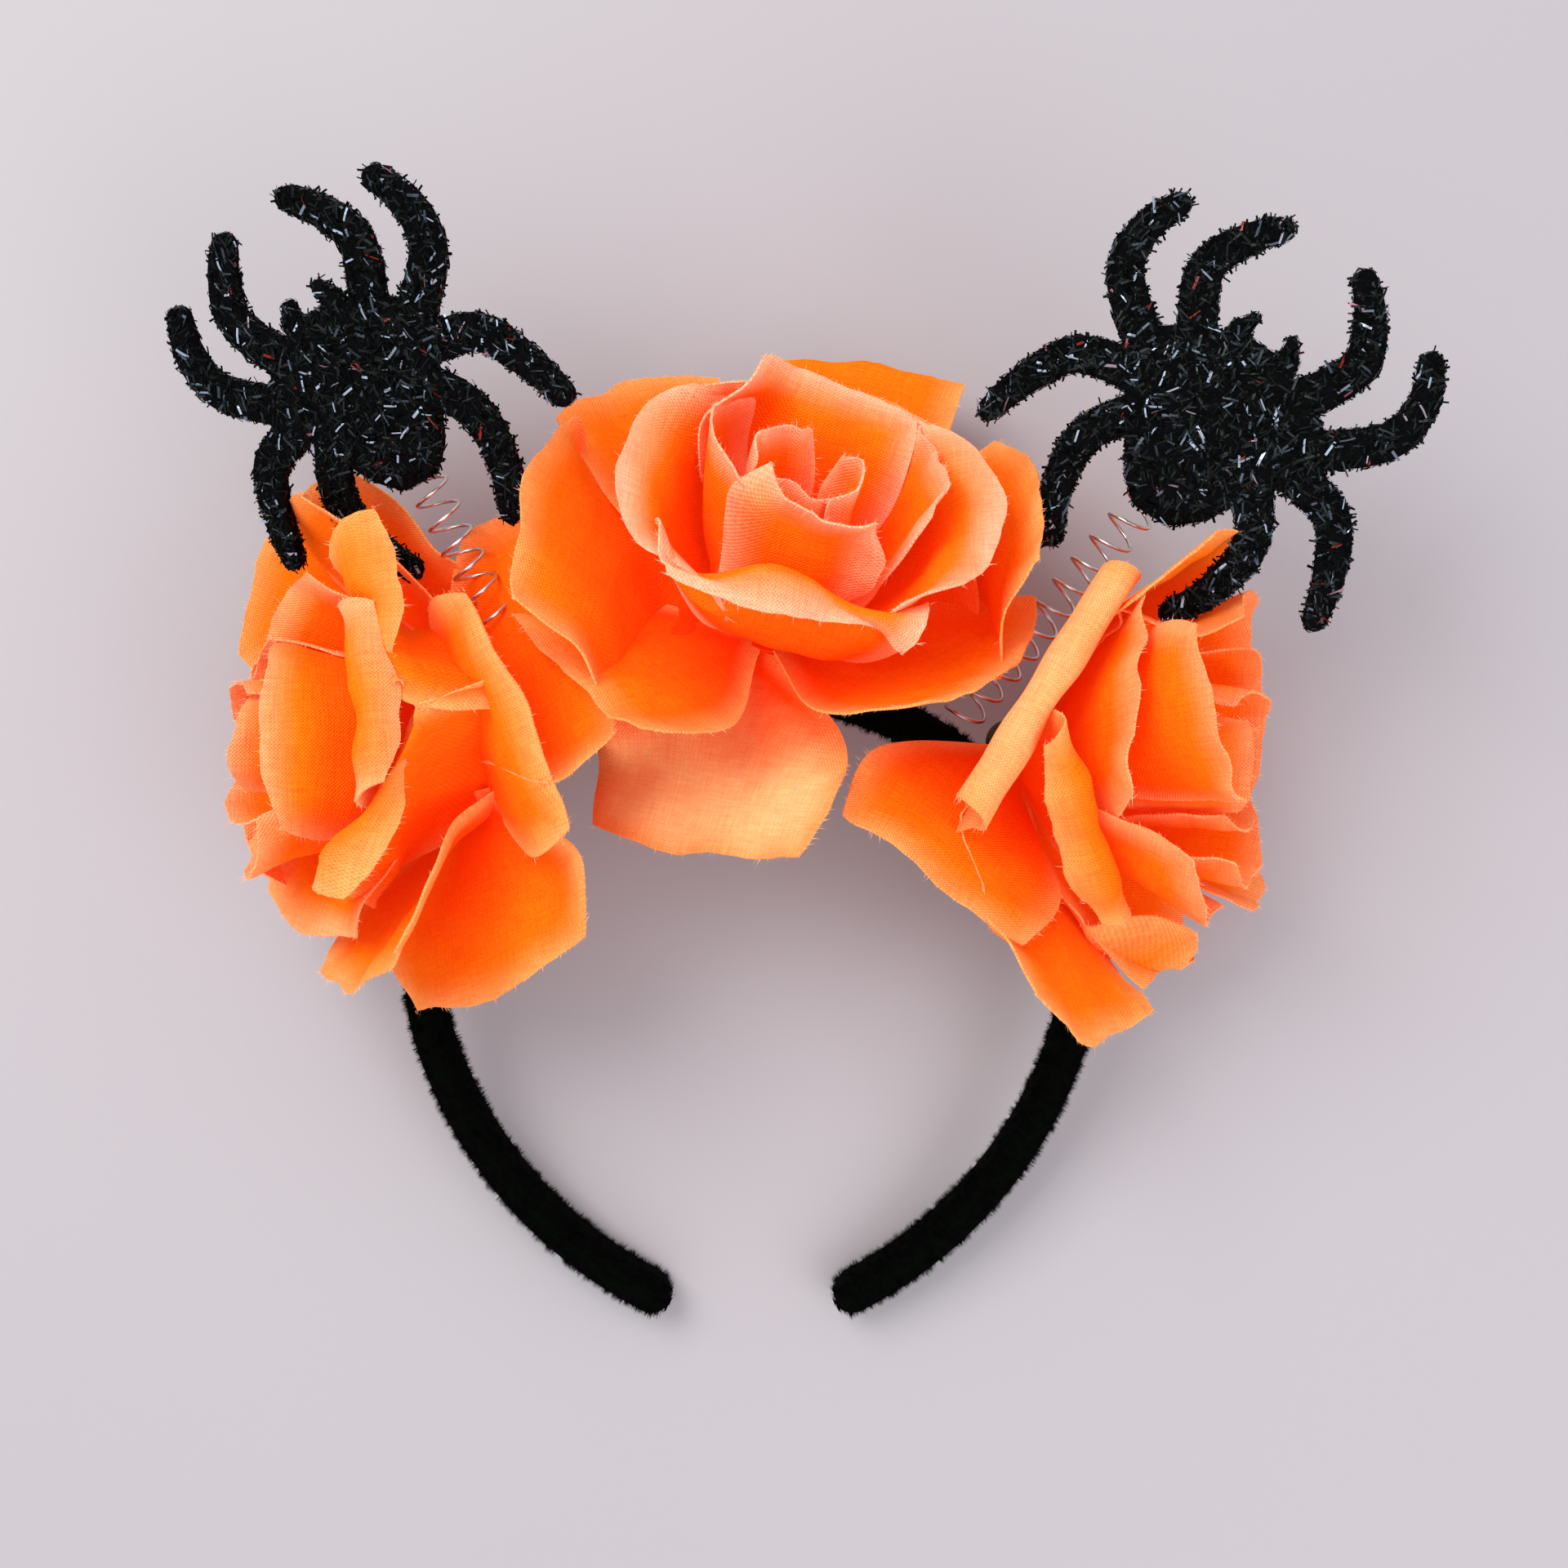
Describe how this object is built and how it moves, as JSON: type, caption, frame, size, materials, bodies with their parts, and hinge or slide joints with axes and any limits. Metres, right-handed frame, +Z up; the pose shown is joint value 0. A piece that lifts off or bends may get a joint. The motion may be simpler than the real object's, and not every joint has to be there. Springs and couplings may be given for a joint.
{
  "type": "costume headband with cloth roses and spiders on springs",
  "caption": "Costume headband: a flocked arch that clips over the head, with cloth roses round its crown and glittery foam spiders that bob on wire springs.",
  "frame": {"origin": "bottom centre of the bounding box, on the table the headband lies on", "axes": "+X along its longest extent, from the left spider to the right one; +Y from the open ends of the arch to its crown; +Z up from the table, out of the front of the roses"},
  "size_m": [0.2222, 0.21, 0.0831],
  "materials": {
    "flock": "black flock, fuzzy",
    "silk": "woven petal cloth, matt",
    "stem_plastic": "moulded, satin",
    "steel": "bright drawn wire",
    "tinsel": "foam covered in black tinsel flakes"
  },
  "bodies": {
    "root": {"band": "flock", "centre_calyx": "stem_plastic", "centre_bud": "silk", "centre_petals_inner": "silk", "centre_petals_cup": "silk", "centre_petals_second": "silk", "centre_petals_outer": "silk", "left_calyx": "stem_plastic", "left_bud": "silk", "left_petals_inner": "silk", "left_petals_cup": "silk", "left_petals_second": "silk", "left_petals_outer": "silk", "right_calyx": "stem_plastic", "right_bud": "silk", "right_petals_inner": "silk", "right_petals_cup": "silk", "right_petals_second": "silk", "right_petals_outer": "silk", "left_spring": "steel", "right_spring": "steel", "left_spider": "tinsel", "right_spider": "tinsel"}
  },
  "joints": []
}
